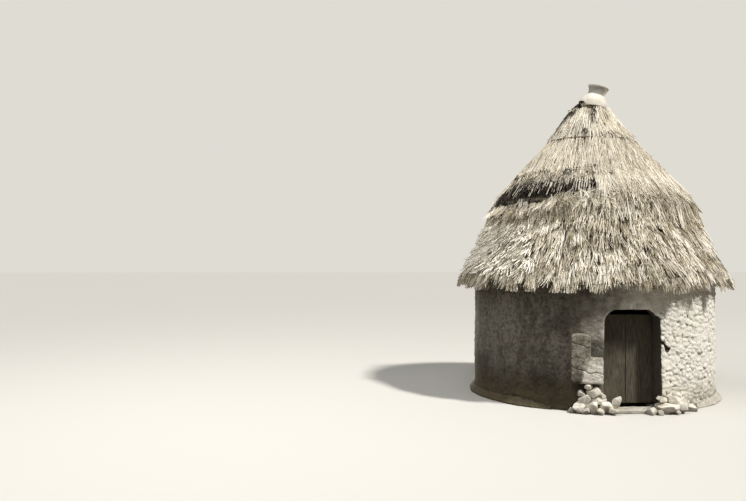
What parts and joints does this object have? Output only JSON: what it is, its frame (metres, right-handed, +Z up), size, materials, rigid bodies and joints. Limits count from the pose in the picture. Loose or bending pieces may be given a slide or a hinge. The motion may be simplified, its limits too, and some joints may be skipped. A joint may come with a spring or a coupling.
{
  "type": "rondavel hut",
  "caption": "Round mud-walled hut with a conical layered thatch roof on poles and hoops, a pivoted plank door and a clay pot over the peak.",
  "frame": {"origin": "centre of the round wall, on the ground", "axes": "+Z up, -Y out through the doorway, +X to the right of someone who faces the door"},
  "size_m": [3.6974, 3.6985, 4.2411],
  "materials": {
    "mud_wall": "rough sun-dried mud with straw in it",
    "field_stone": "weathered field stone",
    "door_wood": "old dark smoke-stained planks",
    "roof_poles": "peeled poles and withies",
    "thatch": "weathered grass thatch",
    "grass_cord": "twisted grass cord",
    "pot_clay": "unglazed pale fired clay"
  },
  "bodies": {
    "hut": {"wall_over_door": "mud_wall", "left_jamb": "mud_wall", "right_jamb": "mud_wall", "wall_segment_1": "mud_wall", "wall_segment_2": "mud_wall", "wall_segment_3": "mud_wall", "wall_segment_4": "mud_wall", "wall_segment_5": "mud_wall", "wall_segment_6": "mud_wall", "wall_segment_7": "mud_wall", "mud_kerb": "mud_wall", "mud_block": "mud_wall", "threshold": "field_stone", "left_doorstone": "field_stone", "right_doorstone": "field_stone", "door_socket_stone": "field_stone", "door_head_beam": "door_wood", "wall_plate": "roof_poles", "hoops": "roof_poles", "rafter_1": "roof_poles", "rafter_2": "roof_poles", "rafter_3": "roof_poles", "rafter_4": "roof_poles", "rafter_5": "roof_poles", "rafter_6": "roof_poles", "rafter_7": "roof_poles", "rafter_8": "roof_poles", "rafter_9": "roof_poles", "rafter_10": "roof_poles", "rafter_11": "roof_poles", "rafter_12": "roof_poles", "rafter_knot": "thatch", "thatch_eaves": "thatch", "thatch_lower": "thatch", "thatch_upper": "thatch", "thatch_crown": "thatch", "thatch_cap": "thatch", "binding_cord": "grass_cord", "finial_pot": "pot_clay"},
    "door": {"door_stile": "door_wood", "door_plank_1": "door_wood", "door_plank_2": "door_wood", "door_ledges": "door_wood"}
  },
  "joints": [
    {"name": "door_swing", "type": "hinge", "parent": "hut", "child": "door", "pos_m": [0.392, -1.31794, 0], "axis": [0, 0, -1], "range_deg": [0, 125]}
  ]
}
